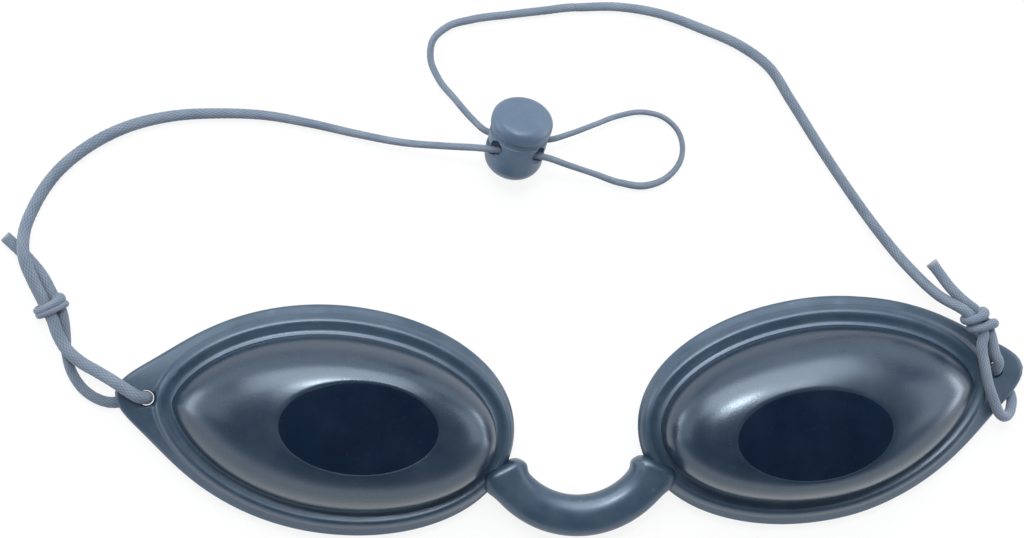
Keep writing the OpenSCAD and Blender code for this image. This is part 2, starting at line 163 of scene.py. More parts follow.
def buildRubbedEdge():
    tree, takes, gives = newGroup(
        "rubbedEdge",
        [("Place", "Vector", None), ("Start", "Float", 0.52), ("End", "Float", 0.6)],
        ["Rub"])
    bend = addNode(tree, "NewGeometry").outputs["Pointiness"]
    edge = addNode(tree, "MapRange", {
        "Value": bend, "From Min": takes.outputs["Start"], "From Max": takes.outputs["End"]})
    patches = addNode(tree, "TexNoise", {
        "Vector": takes.outputs["Place"], "Scale": rubbing["patchScale"], "Detail": 4.0})
    worn = mapped(tree, patches.outputs["Fac"], *rubbing["patchRange"], rubbing["least"], 1.0)
    tree.links.new(math2(tree, "MULTIPLY", edge.outputs[0], worn), gives.inputs["Rub"])
    return tree


def buildSettledDust():
    tree, takes, gives = newGroup(
        "settledDust",
        [("Place", "Vector", None), ("Amount", "Float", 0.5)],
        ["Dust"])
    facing = addNode(tree, "SeparateXYZ", {0: addNode(tree, "NewGeometry").outputs["Normal"]})
    level = mapped(tree, facing.outputs[2], *dusting["upward"])
    film = addNode(tree, "TexNoise", {
        "Vector": takes.outputs["Place"], "Scale": dusting["filmScale"], "Detail": 5.0})
    grains = addNode(tree, "TexNoise", {
        "Vector": takes.outputs["Place"], "Scale": dusting["grainScale"], "Detail": 1.0})
    film = mapped(tree, film.outputs["Fac"], *dusting["filmRange"], 0.0, dusting["filmMost"])
    grains = mapped(tree, grains.outputs["Fac"], *dusting["grainRange"])
    lying = math2(tree, "MULTIPLY", math2(tree, "ADD", film, grains), level)
    tree.links.new(math2(tree, "MULTIPLY", lying, takes.outputs["Amount"]),
                   gives.inputs["Dust"])
    return tree


def buildBraidedYarn():
    tree, takes, gives = newGroup(
        "braidedYarn",
        [("Around", "Float", 0.0), ("Along", "Float", 0.0),
         ("Yarns", "Float", 10.0), ("Pitch", "Float", 1.1)],
        ["Lump", "Fibre", "Tone"])
    turns = math2(tree, "MULTIPLY", takes.outputs["Around"], takes.outputs["Yarns"])
    run = math2(tree, "DIVIDE", takes.outputs["Along"], takes.outputs["Pitch"])
    waves = []
    for sign in ("ADD", "SUBTRACT"):
        phase = math2(tree, "MULTIPLY", math2(tree, sign, turns, run), math.pi)
        wave = math2(tree, "SINE", phase)
        waves.append(math2(tree, "ABSOLUTE", wave))
    lump = math2(tree, "MULTIPLY", waves[0], waves[1])
    plies = addNode(tree, "CombineXYZ", {
        0: math2(tree, "MULTIPLY", math2(tree, "ADD", turns, run), braiding["plies"]),
        1: math2(tree, "MULTIPLY", run, braiding["fibreRun"])})
    fibre = addNode(tree, "TexNoise", {"Vector": plies.outputs[0], "Scale": 1.0, "Detail": 3.0})
    patch = addNode(tree, "CombineXYZ", {
        0: takes.outputs["Around"], 1: math2(tree, "MULTIPLY", run, braiding["toneRun"])})
    tone = addNode(tree, "TexNoise", {
        "Vector": patch.outputs[0], "Scale": braiding["toneScale"], "Detail": 2.0})
    tree.links.new(lump, gives.inputs["Lump"])
    tree.links.new(fibre.outputs["Fac"], gives.inputs["Fibre"])
    tree.links.new(tone.outputs["Fac"], gives.inputs["Tone"])
    return tree


mouldGrain = buildMouldGrain()
rubbedEdge = buildRubbedEdge()
settledDust = buildSettledDust()
braidedYarn = buildBraidedYarn()


def mouldedMaterial(name, look):
    material = bpy.data.materials.new(name)
    material.use_nodes = True
    tree = material.node_tree
    shader = tree.nodes["Principled BSDF"]
    place = addNode(tree, "TexCoord").outputs["Object"]
    mould = placeGroup(tree, mouldGrain, {"Place": place, "Scale": look["grainScale"]})
    rub = placeGroup(tree, rubbedEdge, {
        "Place": place, "Start": look["rubStart"], "End": look["rubEnd"]})
    dust = placeGroup(tree, settledDust, {"Place": place, "Amount": look["dust"]})
    colour = mixColour(tree, mould.outputs["Mottle"], look["dark"], look["light"])
    colour = mixColour(tree, math2(tree, "MULTIPLY", mould.outputs["Speck"], look["speck"]),
                       colour, look["speckColour"])
    colour = mixColour(tree, math2(tree, "MULTIPLY", rub.outputs["Rub"], look["rub"]),
                       colour, look["rubColour"])
    colour = mixColour(tree, dust.outputs["Dust"], colour, look["dustColour"])
    tree.links.new(colour, shader.inputs["Base Color"])
    tree.links.new(mapped(tree, mould.outputs["Mottle"], 0.0, 1.0, *look["roughness"]),
                   shader.inputs["Roughness"])
    bump = addNode(tree, "Bump", {
        "Height": mould.outputs["Height"], "Strength": look["grain"],
        "Distance": look["grainDepth"] * mm})
    tree.links.new(bump.outputs[0], shader.inputs["Normal"])
    shader.inputs["IOR"].default_value = look["ior"]
    shader.inputs["Specular Tint"].default_value = look["sheenColour"]
    return material


# the cord is one braid from tab to tab, and frays where it is cut
cordLook = {
    "yarn": (0.122, 0.160, 0.215, 1),
    "yarnLight": (0.168, 0.208, 0.260, 1),
    # painted shade: this darker colour is laid into the hollows between the yarns and along the
    # fibre streaks
    "groove": (0.068, 0.092, 0.128, 1),
    "tip": (0.42, 0.42, 0.42, 1),
    "yarns": 12.0,
    "pitch": 0.95,
    "lumpHeight": 0.022,  # share of the radius
    "fibreDepth": 0.015,
    "fibreStrength": 0.6,
    "dust": 0.25,
    "dustColour": (0.40, 0.43, 0.47, 1),
    "roughness": 0.78,
    "grooveRoughness": 0.92,
    "sheen": 0.2,
    "sheenRoughness": 0.4,
    "sides": 48,
    "step": 0.2,
    "endShares": (0.0, 0.6, 0.9),  # of the radius, at the rings that close each end
    "toneRange": (0.35, 0.65),
    "fibreRange": (0.55, 0.8),
    "fibreMost": 0.35,
    "lumpRange": (0.0, 0.35),
    "smoothRange": (0.0, 0.5),
}


def cordMaterial(look):
    material = bpy.data.materials.new("braidedElastic")
    material.use_nodes = True
    tree = material.node_tree
    shader = tree.nodes["Principled BSDF"]
    weave = addNode(tree, "SeparateXYZ", {0: addNode(tree, "UVMap").outputs[0]})
    yarn = placeGroup(tree, braidedYarn, {
        "Around": weave.outputs[0], "Along": weave.outputs[1],
        "Yarns": look["yarns"], "Pitch": look["pitch"]})
    place = addNode(tree, "TexCoord").outputs["Object"]
    dust = placeGroup(tree, settledDust, {"Place": place, "Amount": look["dust"]})
    colour = mixColour(tree, mapped(tree, yarn.outputs["Tone"], *look["toneRange"]),
                       look["yarn"], look["yarnLight"])
    # painted shade: the fibre streaks and the hollows between the yarns, where the lump is low,
    # take the darker groove colour
    between = mapped(tree, yarn.outputs["Fibre"], *look["fibreRange"], 0.0, look["fibreMost"])
    colour = mixColour(tree, between, colour, look["groove"])
    colour = mixColour(tree, mapped(tree, yarn.outputs["Lump"], *look["lumpRange"]),
                       look["groove"], colour)
    fray = addNode(tree, "Attribute", attribute_name="fray").outputs["Fac"]
    frayed = math2(tree, "MULTIPLY", fray, yarn.outputs["Fibre"])
    colour = mixColour(tree, dust.outputs["Dust"], colour, look["dustColour"])
    colour = mixColour(tree, frayed, colour, look["tip"])
    tree.links.new(colour, shader.inputs["Base Color"])
    tree.links.new(mapped(tree, yarn.outputs["Lump"], *look["smoothRange"],
                          look["grooveRoughness"], look["roughness"]),
                   shader.inputs["Roughness"])
    bump = addNode(tree, "Bump", {
        "Height": yarn.outputs["Fibre"], "Strength": look["fibreStrength"],
        "Distance": look["fibreDepth"] * mm})
    tree.links.new(bump.outputs[0], shader.inputs["Normal"])
    shader.inputs["Sheen Weight"].default_value = look["sheen"]
    shader.inputs["Sheen Roughness"].default_value = look["sheenRoughness"]
    return material


braidedElastic = cordMaterial(cordLook)


# a smooth line through all the points, cut into even steps
def throughPoints(points, first, last, step, perStretch=40):
    points = [Vector(p) for p in points]
    steps = [(b - a).length for a, b in zip(points, points[1:])]
    ways = [Vector(first).normalized()]
    for i in range(1, len(points) - 1):
        before, after = points[i] - points[i - 1], points[i + 1] - points[i]
        ways.append((before / steps[i - 1] * steps[i] + after / steps[i] * steps[i - 1])
                    .normalized())
    ways.append(Vector(last).normalized())
    fine = [points[0]]
    for i, length in enumerate(steps):
        a, b = points[i], points[i + 1]
        for k in range(1, perStretch + 1):
            t = k / perStretch
            fine.append((2 * t**3 - 3 * t**2 + 1) * a + (3 * t**2 - 2 * t**3) * b
                        + length * ((t**3 - 2 * t**2 + t) * ways[i]
                                    + (t**3 - t**2) * ways[i + 1]))
    travelled = [0.0]
    for a, b in zip(fine, fine[1:]):
        travelled.append(travelled[-1] + (b - a).length)
    whole = travelled[-1]
    count = max(8, round(whole / step))
    even, at = [], 0
    for i in range(count + 1):
        want = whole * i / count
        while at < len(fine) - 2 and travelled[at + 1] < want:
            at += 1
        share = (want - travelled[at]) / max(travelled[at + 1] - travelled[at], 1e-9)
        even.append(fine[at].lerp(fine[at + 1], min(share, 1)))
    return even, whole


def thicknessAt(stops, share):
    for (a, thickA), (b, thickB) in zip(stops, stops[1:]):
        if share <= b:
            return thickA + (thickB - thickA) * max(0, share - a) / (b - a)
    return stops[-1][1]


def tube(name, line, whole, stops, material, frayed=0.0):
    sides, look = cordLook["sides"], cordLook
    shut, narrow, short = look["endShares"]
    count = len(line) - 1
    rings = [(line[0], shut, 0.0), (line[0], narrow, 0.0)]
    rings += [(point, short if i in (0, count) else 1.0, i / count)
              for i, point in enumerate(line)]
    rings += [(line[-1], narrow, 1.0), (line[-1], shut, 1.0)]
    shape = bmesh.new()
    uv = shape.loops.layers.uv.new("UVMap")
    fray = shape.verts.layers.float.new("fray")
    bmesh.ops.create_grid(shape, x_segments=sides, y_segments=len(rings) - 1,
                          size=1, calc_uvs=True)
    shape.verts.ensure_lookup_table()
    side = Vector((0.1, 0.2, 1))
    for j, (point, share, along) in enumerate(rings):
        i = min(max(j - 2, 0), count)
        way = (line[min(i + 1, count)] - line[max(i - 1, 0)]).normalized()
        side = (side - side.dot(way) * way).normalized()
        other = way.cross(side)
        radius = thicknessAt(stops, along) / 2 * share
        run = along * whole / look["pitch"]
        for k in range(sides + 1):
            turn = k / sides
            lump = abs(math.sin(math.pi * (turn * look["yarns"] + run))
                       * math.sin(math.pi * (turn * look["yarns"] - run)))
            swell = 1 + look["lumpHeight"] * (lump * 2 - 1)
            angle = 2 * math.pi * turn
            vert = shape.verts[j * (sides + 1) + k]
            vert.co = (point + radius * swell
                       * (math.cos(angle) * side + math.sin(angle) * other)) * mm
            vert[fray] = max(0, 1 - (1 - along) * whole / frayed) if frayed else 0
    rows = len(rings) - 1
    for face in shape.faces:
        face.smooth = True
        for loop in face.loops:
            row = loop[uv].uv.y * rows - 2
            loop[uv].uv.y = min(max(row, 0), count) / count * whole
    bmesh.ops.remove_doubles(shape, verts=shape.verts, dist=1e-7)
    bmesh.ops.recalc_face_normals(shape, faces=shape.faces)
    return finished(name, shape, material)


def finished(name, shape, material):
    mesh = bpy.data.meshes.new(name)
    shape.to_mesh(mesh)
    shape.free()
    mesh.materials.append(material)
    piece = bpy.data.objects.new(name, mesh)
    scene.collection.objects.link(piece)
    return piece


def standIn(piece, node, body):
    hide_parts(node)
    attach(piece, body)


lock = {
    "at": (-10.44, 39.5, 2.483),  # the middle of its closed end
    "lean": 42,
    "turn": 9,
    "strandGap": 4,
    "strandEnd": 4.9,  # the strands are straight as far as this
    "holeHeight": 5,
    "sharp": 40,
}


def axesOfLock():
    lean, turn = math.radians(lock["lean"]), math.radians(lock["turn"])
    return Matrix((
        (math.cos(turn), -math.sin(turn), 0),
        (math.sin(lean) * math.sin(turn), math.sin(lean) * math.cos(turn), -math.cos(lean)),
        (math.cos(lean) * math.sin(turn), math.cos(lean) * math.cos(turn), math.sin(lean)),
    )).transposed()


lockAxes = axesOfLock()
strandWay = lockAxes.col[0]


def inLock(x, y, z):
    return Vector(lock["at"]) + lockAxes @ Vector((x, y, z))


def strandPoint(x, ySide):
    return inLock(x, ySide * lock["strandGap"] / 2, lock["holeHeight"])


knots = {
    "left": {"at": (-80.5, 19, 2.3), "turn": 115, "cord": 1.9},
    "right": {"at": (63.1, 14.7, 6.1), "turn": 128, "cord": 1.7},
    "length": 3.2,
    "strandsApart": 0.1,
    "tilt": 42,
}


def knotWay(side):
    angle = math.radians(knots[side]["turn"])
    return Vector((math.cos(angle), math.sin(angle), 0))


def knotPoint(side, end, across):
    way, tilt = knotWay(side), math.radians(knots["tilt"])
    beside = Vector((math.cos(tilt) * way.y, -math.cos(tilt) * way.x, -math.sin(tilt)))
    return (Vector(knots[side]["at"]) + end * knots["length"] / 2 * way
            + across * (knots[side]["cord"] + knots["strandsApart"]) / 2 * beside)


tabHoles = {-1: (-66.6, 4.9), 1: (66.6, 6.7)}  # -1 is the left side, 1 the right


def inHole(side, z):
    return Vector((*tabHoles[side], z))


# "points" lead along each stretch, "thick" gives its diameter at shares of its length
cords = {
    "leftRun": {
        "points": [knotPoint("left", 0, -1), knotPoint("left", 1, -1),
                   (-83.15, 22.9, 3), (-84.55, 26.9, 3.05), (-84.5, 30.2, 2.3),
                   (-82.95, 34.3, 1.2), (-79.8, 39, 1), (-75, 43.05, 1), (-69, 46.1, 1),
                   (-62, 47.75, 1), (-55, 48.1, 1), (-48, 47.75, 1), (-41, 46.45, 1),
                   (-34, 44.8, 1.2), (-27, 43.45, 2.6), (-20.6, 42.95, 5.25),
                   strandPoint(-lock["strandEnd"], -1), strandPoint(0, -1)],
        "first": knotWay("left"), "last": strandWay,
        "thick": [(0, 1.9), (0.33, 1.9), (0.75, 1.2), (0.9, 1.08), (1, 1.05)],
        "replaces": ["left_cord_run"],
    },
    "cordLoop": {
        "points": [strandPoint(0, -1), strandPoint(lock["strandEnd"], -1), (-2.2, 40, 6.1),
                   (2.6, 38.35, 3.4), (7, 36.82, 1.2), (11, 36.3, 0.7), (14.5, 37.65, 0.7),
                   (16.65, 40.6, 0.7), (16.42, 44.15, 0.7), (14.1, 46.75, 0.7),
                   (10.55, 47.75, 0.7), (6.6, 47.2, 1.2), (2.9, 46, 2.6), (-1.1, 44.65, 3.7),
                   strandPoint(lock["strandEnd"], 1), strandPoint(0, 1)],
        "first": strandWay, "last": -strandWay,
        "thick": [(0, 1.05), (0.2, 0.95), (0.36, 1.15), (0.5, 0.85), (0.8, 0.85), (1, 1.0)],
        "replaces": ["cord_loop", "cord_in_lock"],
    },
    "topRun": {
        "points": [strandPoint(0, 1), strandPoint(-lock["strandEnd"], 1), (-16.3, 46.9, 3.8),
                   (-18.9, 50, 2.8), (-21.3, 53.1, 1.6), (-22.5, 56.5, 0.9),
                   (-22.1, 59, 0.8), (-19.9, 61.05, 0.8), (-16, 62.2, 0.8),
                   (-10.5, 62.9, 0.8), (-5, 63.5, 0.8), (0, 64, 0.8)],
        "first": -strandWay, "last": (1, 0, 0),
        "thick": [(0, 1.0), (0.45, 1.05), (0.65, 1.22), (1, 1.3)],
        "replaces": ["top_cord_run"],
    },
    "rightRun": {
        "points": [(0, 64, 0.8), (6.5, 64.05, 0.85), (13.4, 62.92, 0.85), (19.9, 60.58, 0.85),
                   (25.85, 58, 0.85), (30.35, 54.75, 0.85), (34.02, 49.32, 0.85),
                   (38.52, 42.28, 0.85), (43.2, 35.37, 0.9), (47.72, 29.05, 1.5),
                   (52.1, 23.5, 3), (56.55, 18.95, 5), knotPoint("right", 1, -1),
                   knotPoint("right", 0, -1)],
        "first": (1, 0, 0), "last": -knotWay("right"),
        "thick": [(0, 1.3), (0.3, 1.6), (0.65, 1.6), (0.8, 1.72), (1, 1.7)],
        "replaces": ["right_cord_run"],
    },
    "leftTie": {
        "points": [knotPoint("left", 0, -1), knotPoint("left", -1, -1), (-79.85, 15.2, 3),
                   (-78.4, 12.5, 3), (-76.45, 10.65, 3.05), (-73.9, 9.15, 3.7),
                   (-71.3, 7.65, 4.8), (-69.4, 6.35, 4.95), (-67.8, 5.35, 4.75),
                   inHole(-1, 3.7), inHole(-1, 2.3), (-67.6, 4.7, 1.3), (-69.6, 4.2, 1),
                   (-72.6, 4.1, 1), (-75.5, 5.55, 1), (-77.75, 8.6, 1), (-78.55, 11.6, 1),
                   (-78.7, 14.6, 1.2), knotPoint("left", -1, 1), knotPoint("left", 1, 1),
                   (-81.85, 23.45, 1.4), (-84.7, 27, 1), (-87.5, 29.8, 1)],
        "first": -knotWay("left"), "last": (-1, 1, 0),
        "thick": [(0, 1.9), (0.4, 1.9), (0.5, 1.65), (0.68, 1.6), (0.76, 1.9), (1, 1.8)],
        "replaces": ["left_tie_loop", "left_tail"], "frayed": 0.5,
    },
    "rightTie": {
        "points": [knotPoint("right", 0, -1), knotPoint("right", -1, -1), (63.4, 10.9, 6.5),
                   (63.95, 7.9, 6.2), (64.75, 4.6, 5.85), (65.95, 1.75, 5.15), (66.95, -0.2, 4.85),
                   (67.95, -0.75, 4), (68.9, -0.55, 3), (69.6, 0.3, 2), (69.9, 1.8, 1.3),
                   (69, 3.7, 1), (67.6, 5.5, 1.15), inHole(1, 2.2), inHole(1, 3.9),
                   (66.6, 8.1, 4.95), (66, 9.3, 5.2), (65.4, 11.6, 5.4),
                   knotPoint("right", -1, 1), knotPoint("right", 1, 1), (60.9, 17.75, 5.5),
                   (58.45, 20.1, 5.5), (57, 22.1, 5.1), (55.65, 24, 4.6)],
        "first": -knotWay("right"), "last": (-0.6, 0.8, -0.2),
        "thick": [(0, 1.7), (0.96, 1.7), (0.98, 1.75), (1, 1.95)],
        "replaces": ["right_tie_loop", "right_tail"], "frayed": 0.9,
    },
}

lines = {}
for name, cord in cords.items():
    line, whole = throughPoints(cord["points"], cord["first"], cord["last"], cordLook["step"])
    piece = tube(name, line, whole, cord["thick"], braidedElastic, cord.get("frayed", 0))
    lines[name] = (piece, line, whole)
    print("cord", name, round(whole, 1), "mm")

# the strand that ties each knot goes round the other two, and bulges where it turns back
wraps = {
    "left": {"thick": 1.1, "spread": -1.3, "ringRight": 2.0, "ringLeft": 2.35, "high": 1.85,
             "slant": 0.1, "bulges": [(0.34, 2.05, 1.45, 0.3)]},
    "right": {"thick": 1.3, "spread": -2.9, "ringRight": 1.9, "ringLeft": 1.75, "high": 1.7,
              "slant": -0.3, "bulges": [(0.34, 2.0, 1.2, 0.6), (0.91, 1.6, 1.6, -0.2)]},
    "from": 215,
    "through": 630,
    "steps": 40,
    "bulgeShare": 11,
    "clear": 0.05,
}


def bell(share, at):
    return math.exp(-((share - at) * wraps["bulgeShare"]) ** 2)


def wrapLine(side):
    look, way = wraps[side], knotWay(side)
    across = Vector((way.y, -way.x, 0))
    points, stops = [], []
    for i in range(wraps["steps"] + 1):
        share = i / wraps["steps"]
        angle = math.radians(wraps["from"] - wraps["through"] * share)
        c = math.cos(angle)
        ring = look["ringRight"] if c > 0 else look["ringLeft"]
        along = look["spread"] * (share - 0.5) + look["slant"] * c
        thick = look["thick"]
        for at, bulge, reach, shift in look["bulges"]:
            near = bell(share, at)
            ring += (reach - ring) * near
            thick += (bulge - thick) * near
            along += shift * near
        point = (Vector(knots[side]["at"]) + way * along + across * ring * c
                 + Vector((0, 0, look["high"] * math.sin(angle))))
        point.z = max(point.z, thick / 2 + wraps["clear"])
        points.append(point)
        stops.append((share, thick))
    return points, stops


for side in ("left", "right"):
    points, stops = wrapLine(side)
    line, whole = throughPoints(points, points[1] - points[0], points[-1] - points[-2],
                                cordLook["step"])
    knot = tube(side + "KnotWrap", line, whole, stops, braidedElastic)
    standIn(knot, side + "_knot", side + "_side")
    knots[side]["piece"] = knot
print("knots tied")


def metres(point):
    return tuple(c * mm for c in point)


def declare(name):
    piece, line, whole = lines[name]
    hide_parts(*cords[name]["replaces"])
    return piece


leftRun = declare("leftRun")
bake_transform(leftRun)
cordLoop = declare("cordLoop")
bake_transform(cordLoop)
topRun = declare("topRun")
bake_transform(topRun)
rightRun = declare("rightRun")
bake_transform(rightRun)
leftTie = declare("leftTie")
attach(leftTie, "left_side")
rightTie = declare("rightTie")
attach(rightTie, "right_side")
print("cords declared")


# cups, frames and windows follow the same outlines as the solids, with +X towards the temple
dome = {
    "noseHalf": 24.4, "templeHalf": 25.7, "halfHeight": 13.5, "templePoint": 1.58,
    "x": 37.2, "y": 0.7, "turn": 8.2, "stations": 192,
}
window = {
    "halfLength": 11.9, "halfHeight": 6.8, "in": 2.35, "lean": 1.3, "down": 0.6, "turn": 4,
    "edge": [(-0.2, 12.8), (-0.05, 12.86), (0, 13.0), (0, 14.46), (0.17, 14.485),
             (0.13, 14.495)],  # from underneath to the top: offset, height
    "crown": 0.3, "crownRings": 12, "sharp": 30,
}
flange = {"width": 4.3, "noseWidth": 3.2, "tabLength": 8.8, "tabTaper": 7, "sharp": 50}


def oval(temple, nose, high, point, angle):
    c, s = math.cos(angle), math.sin(angle)
    power = 2 / (point if c > 0 else 2)
    return Vector(((temple if c > 0 else nose) * c, high * math.copysign(abs(s) ** power, s)))


def domeLine(angle):
    return oval(dome["templeHalf"], dome["noseHalf"], dome["halfHeight"],
                dome["templePoint"], angle)


def domeOut(angle):
    along = domeLine(angle + math.radians(1)) - domeLine(angle - math.radians(1))
    return Vector((along.y, -along.x)).normalized()


def beside(angle, out):
    return domeLine(angle) + out * domeOut(angle)


def flangeReach(angle):
    facing, width = domeOut(angle).x, flange["width"]
    if facing > 0:
        return width + (flange["tabLength"] - width) * facing ** flange["tabTaper"]
    return width + (flange["noseWidth"] - width) * facing**2


def windowLine(side, angle, out):
    turn = math.radians(window["turn"])
    p = oval(window["halfLength"] + out, window["halfLength"] + out,
             window["halfHeight"] + out, 2, angle + turn)
    c, s = math.cos(-turn), math.sin(-turn)
    return Vector((p.x * c - p.y * s - window["in"],
                   p.x * s + p.y * c - window["down"] - side * window["lean"]))


angles = [2 * math.pi * i / dome["stations"] for i in range(dome["stations"])]


# the cord draws each tab towards +Y, and the soft bridge lets the nose sides lie differently
lie = {"tabFrom": 44, "tabSpan": 27, "tabRise": {-1: 0.15, 1: 1.3}, "tabBend": 1.3,
       "noseTo": 32, "noseSpan": 24, "noseShift": {-1: (-0.3, 0.15), 1: (-0.35, 0.25)}}


def placed(side, point, z):
    turn = math.radians(dome["turn"])
    c, s = math.cos(turn), math.sin(turn)
    x = dome["x"] + point.x * c - point.y * s
    y = dome["y"] + point.x * s + point.y * c
    y += lie["tabRise"][side] * (max(0, x - lie["tabFrom"]) / lie["tabSpan"]) ** lie["tabBend"]
    nose = max(0, lie["noseTo"] - x) / lie["noseSpan"]
    return Vector((side * x + lie["noseShift"][side][0] * nose,
                   y + lie["noseShift"][side][1] * nose, z))


def rounded(corners, perArc=4):
    curve = []
    count = len(corners)
    for i, (a, b, z, cut) in enumerate(corners):
        here = Vector((a, b, z))
        before = Vector(corners[i - 1][:3]) - here
        after = Vector(corners[(i + 1) % count][:3]) - here
        if cut == 0:
            curve.append(here)
            continue
        start = here + before * min(0.5, cut / max(before.length, 1e-6))
        end = here + after * min(0.5, cut / max(after.length, 1e-6))
        for k in range(perArc + 1):
            t = k / perArc
            curve.append((1 - t) ** 2 * start + 2 * t * (1 - t) * here + t**2 * end)
    return curve


def loft(rings, ends):
    shape = bmesh.new()
    bmesh.ops.create_circle(shape, segments=len(rings[0]), radius=1)
    station = shape.verts.layers.int.new("station")
    for i, vert in enumerate(shape.verts):
        vert[station] = i
        vert.co = rings[0][i] * mm
    firstEdges = edges = list(shape.edges)
    for ring in rings[1:]:
        made = bmesh.ops.extrude_edge_only(shape, edges=edges)["geom"]
        fresh = {g for g in made if isinstance(g, bmesh.types.BMVert)}
        edges = [g for g in made if isinstance(g, bmesh.types.BMEdge)
                 and g.verts[0] in fresh and g.verts[1] in fresh]
        for vert in fresh:
            vert.co = ring[vert[station]] * mm
    if ends == "joined":
        bmesh.ops.bridge_loops(shape, edges=firstEdges + edges)
    else:
        for loop in (firstEdges, edges):
            bmesh.ops.contextual_create(shape, geom=loop)
    for face in shape.faces:
        face.smooth = True
    bmesh.ops.recalc_face_normals(shape, faces=shape.faces)
    return shape


def cutWith(piece, cutter):
    change = piece.modifiers.new("cut", "BOOLEAN")
    change.object = cutter
    change.solver = "EXACT"
    bpy.context.view_layer.update()
    done = bpy.data.meshes.new_from_object(
        piece.evaluated_get(bpy.context.evaluated_depsgraph_get()))
    piece.modifiers.clear()
    piece.data = done
    bpy.data.objects.remove(cutter)


def spun(profile, steps=96):
    shape = bmesh.new()
    verts = [shape.verts.new((r * mm, 0, z * mm)) for r, z in profile]
    edges = [shape.edges.new(pair) for pair in zip(verts, verts[1:])]
    bmesh.ops.spin(shape, geom=verts + edges, cent=(0, 0, 0), axis=(0, 0, 1), dvec=(0, 0, 0),
                   angle=2 * math.pi, steps=steps, use_merge=True)
    bmesh.ops.remove_doubles(shape, verts=shape.verts, dist=1e-7)
    bmesh.ops.recalc_face_normals(shape, faces=shape.faces)
    for face in shape.faces:
        face.smooth = True
    return shape


def sharpen(piece, angle):
    piece.data.set_sharp_from_angle(angle=math.radians(angle))


rubberLook = {
    "dark": (0.019, 0.039, 0.066, 1),
    "light": (0.031, 0.055, 0.085, 1),
    "grainScale": 5200.0,
    "grain": 0.3,
    "grainDepth": 0.02,
    "speck": 0.2,
    "speckColour": (0.09, 0.10, 0.13, 1),
    "rub": 0.3,
    "rubStart": 0.53,
    "rubEnd": 0.64,
    "rubColour": (0.10, 0.14, 0.20, 1),
    "dust": 0.1,
    "dustColour": (0.30, 0.32, 0.36, 1),
    "roughness": (0.32, 0.40),
    "ior": 1.8,
    "sheenColour": (0.72, 0.85, 1, 1),
}
softRubber = mouldedMaterial("softRubber", rubberLook)

# round the section: offset, share of the flange's reach, height, rounding
frameSection = [
    (-0.95, 0, 0.55, 0.3), (-0.45, 0, 0, 0.3), (0.6, 0, 0, 0.35), (1.15, 0, 2.0, 0.3),
    (1.9, 0, 2.4, 0.4), (-0.25, 1, 2.2, 0.25), (0, 1, 2.4, 0.25), (0, 1, 2.75, 0.35),
    (-0.4, 1, 3.1, 0.4), (3.05, 0, 3.75, 0.4), (2.6, 0, 4.6, 0.5), (2.15, 0, 4.98, 0.6),
    (1.65, 0, 4.98, 0.6), (1.2, 0, 4.78, 0.5), (0.5, 0, 4.62, 0.5), (-0.06, 0, 4.95, 0.1),
    (-0.06, 0, 4.0, 0), (1.2, 0, 4.0, 0), (1.2, 0, 2.6, 0), (-1.25, 0, 2.6, 0.1),
]
# radius and height up through a tab's hole, which is narrowest in the middle
tabHoleProfile = [(0, 1.4), (1.6, 1.4), (1.6, 2.3), (1.35, 2.45), (1.22, 2.7), (1.2, 3.1),
                  (1.22, 3.4), (1.35, 3.65), (1.6, 3.9), (1.6, 4.9), (0, 4.9)]


def softFrame(side, name):
    rings = [[placed(side, beside(a, p.x + p.y * flangeReach(a)), p.z) for a in angles]
             for p in rounded(frameSection)]
    piece = finished(name, loft(rings, "joined"), softRubber)
    cutter = spun(tabHoleProfile, 48)
    bmesh.ops.translate(cutter, verts=cutter.verts, vec=metres((*tabHoles[side], 0)))
    cutWith(piece, finished("cutter", cutter, softRubber))
    sharpen(piece, flange["sharp"])
    return piece


for side, name in ((-1, "left"), (1, "right")):
    piece = softFrame(side, name + "SoftFrame")
    standIn(piece, name + "_frame", name + "_side")
print("soft frames made")


bridge = {
    "radius": 13.55, "y": -1.3585, "z": 3.6, "width": 6.5, "height": 5.2,
    "reach": 60.5, "endLength": 1.5, "endSquareness": 2.6, "sides": 96,
    "roundness": 2.3, "endRoundness": 3.4, "squareFrom": 35, "squareOver": 22,
    "fillet": 0.55, "filletFrom": 58, "filletOver": 5, "filletPower": 6,
    "endRings": 14, "rings": 80, "least": 0.02,
}


def noseBridge():
    b = bridge
    endTurn = math.degrees(b["endLength"] / b["radius"])
    most = b["reach"] + endTurn
    stops = [-most + endTurn * (1 - math.cos(math.pi / 2 * k / b["endRings"]))
             for k in range(b["endRings"] + 1)]
    tip = [-s for s in reversed(stops)]
    stops += [-b["reach"] + 2 * b["reach"] * k / b["rings"] for k in range(1, b["rings"])]
    stops += tip
    rings = []
    for stop in stops:
        past = min(1, max(0, (abs(stop) - b["reach"]) / endTurn))
        share = max(b["least"], (1 - past ** b["endSquareness"]) ** (1 / b["endSquareness"]))
        a = math.radians(stop)
        middle = Vector((b["radius"] * math.sin(a), b["y"] - b["radius"] * math.cos(a), b["z"]))
        out = Vector((math.sin(a), -math.cos(a), 0))
        near = math.exp(-((abs(stop) - b["filletFrom"]) / b["filletOver"]) ** 2)
        square = min(1, max(0, (abs(stop) - b["squareFrom"]) / b["squareOver"])) ** 2
        power = 2 / (b["roundness"] + (b["endRoundness"] - b["roundness"]) * square)
        less = b["endLength"] * (1 - share)
        ring = []
        for i in range(b["sides"]):
            t = 2 * math.pi * i / b["sides"]
            c, s = math.cos(t), math.sin(t)
            reach = b["width"] / 2 - less + b["fillet"] * near * abs(c) ** b["filletPower"]
            high = b["height"] / 2 - less
            ring.append(middle + out * reach * math.copysign(abs(c) ** power, c)
                        + Vector((0, 0, high * math.copysign(abs(s) ** power, s))))
        rings.append(ring)
    return finished("noseBridge", loft(rings, "capped"), softRubber)


nose = noseBridge()
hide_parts("bridge_middle")
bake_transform(nose)
print("nose bridge made")


